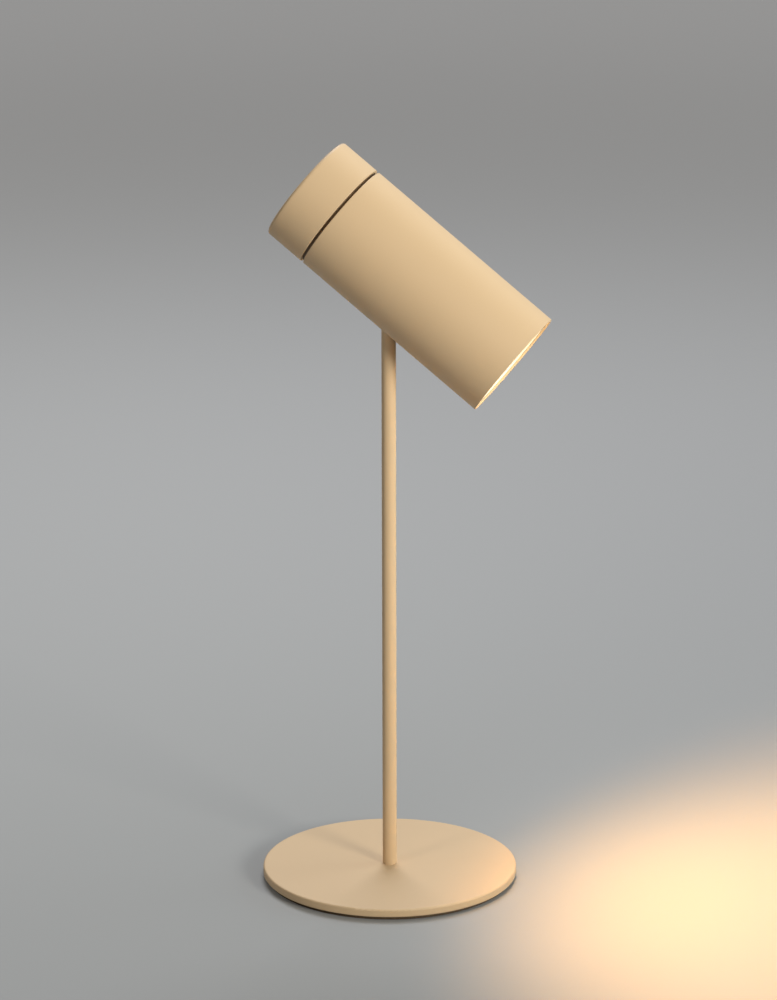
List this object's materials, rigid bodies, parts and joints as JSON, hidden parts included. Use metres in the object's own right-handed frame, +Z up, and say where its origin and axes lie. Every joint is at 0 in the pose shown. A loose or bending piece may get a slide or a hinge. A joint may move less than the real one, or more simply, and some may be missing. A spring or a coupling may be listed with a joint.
{
  "type": "table lamp",
  "caption": "Tabletop searchlight lamp: tubular head that tilts and swivels on a thin stem with a flat round base; the rear cap is a rotary dimmer.",
  "frame": {"origin": "centre of the base's underside, on the table", "axes": "+Z up along the stem; the head points along +X and down at rest; the tilt pin runs along Y; the cable inlet is at -X"},
  "size_m": [0.1821, 0.162, 0.4709],
  "materials": {
    "powder_coat": "matte warm beige powder coat",
    "foam": "dark closed-cell foam",
    "grommet_rubber": "moulded dark rubber",
    "zinc_steel": "zinc-plated steel",
    "spring_steel": "spring steel",
    "brass": "turned brass",
    "nylon": "natural nylon",
    "white_baffle": "matte white moulding",
    "opal_diffuser": "opal diffusing plastic",
    "bulb_body": "white lamp body",
    "ceramic": "unglazed white ceramic",
    "dark_plastic": "dark beige-brown moulding",
    "terminal_plastic": "translucent white polyamide",
    "lead_insulation": "silicone lead insulation",
    "aluminium": "plain turned aluminium"
  },
  "bodies": {
    "stand": {"base_plate": "powder_coat", "base_pad": "foam", "cable_grommet": "grommet_rubber", "stem_flange": "zinc_steel", "flange_screws": "zinc_steel", "stem_tube": "powder_coat", "stem_plug": "brass", "swivel_stop_pin": "spring_steel", "swivel_washer": "nylon"},
    "swivel": {"swivel_knuckle": "brass", "swivel_clip": "spring_steel"},
    "head": {"head_shell": "powder_coat", "tilt_bracket": "zinc_steel", "bracket_rivets": "powder_coat", "friction_washers": "nylon", "spring_washer": "spring_steel", "tilt_nut": "zinc_steel", "tilt_bolt": "zinc_steel", "front_baffle": "white_baffle", "front_diffuser": "opal_diffuser", "diffuser_ring": "spring_steel", "lamp_bulb": "bulb_body", "lampholder": "ceramic", "lampholder_screws": "zinc_steel", "holder_plate": "zinc_steel", "support_posts": "aluminium", "post_screws": "zinc_steel", "terminal_block": "terminal_plastic", "clamp_screws": "brass", "head_leads": "lead_insulation", "mounting_ring": "aluminium", "rear_bulkhead": "dark_plastic", "bulkhead_screws": "zinc_steel", "dimmer_body": "dark_plastic", "dimmer_nut": "zinc_steel"},
    "knob": {"rear_cap": "powder_coat", "dimmer_shaft": "brass", "shaft_spring": "spring_steel"}
  },
  "joints": [
    {"name": "head_swivel", "type": "hinge", "parent": "stand", "child": "swivel", "pos_m": [0, 0, 0.3695], "axis": [0, 0, 1], "range_deg": [-150, 150]},
    {"name": "head_tilt", "type": "hinge", "parent": "swivel", "child": "head", "pos_m": [0, 0, 0.3695], "axis": [0, 1, 0], "range_deg": [-53.2, 21.8]},
    {"name": "dimmer_turn", "type": "hinge", "parent": "head", "child": "knob", "pos_m": [0.01577, 0, 0.38954], "axis": [0.7859, 0, -0.6184], "range_deg": [-270, 0]}
  ]
}
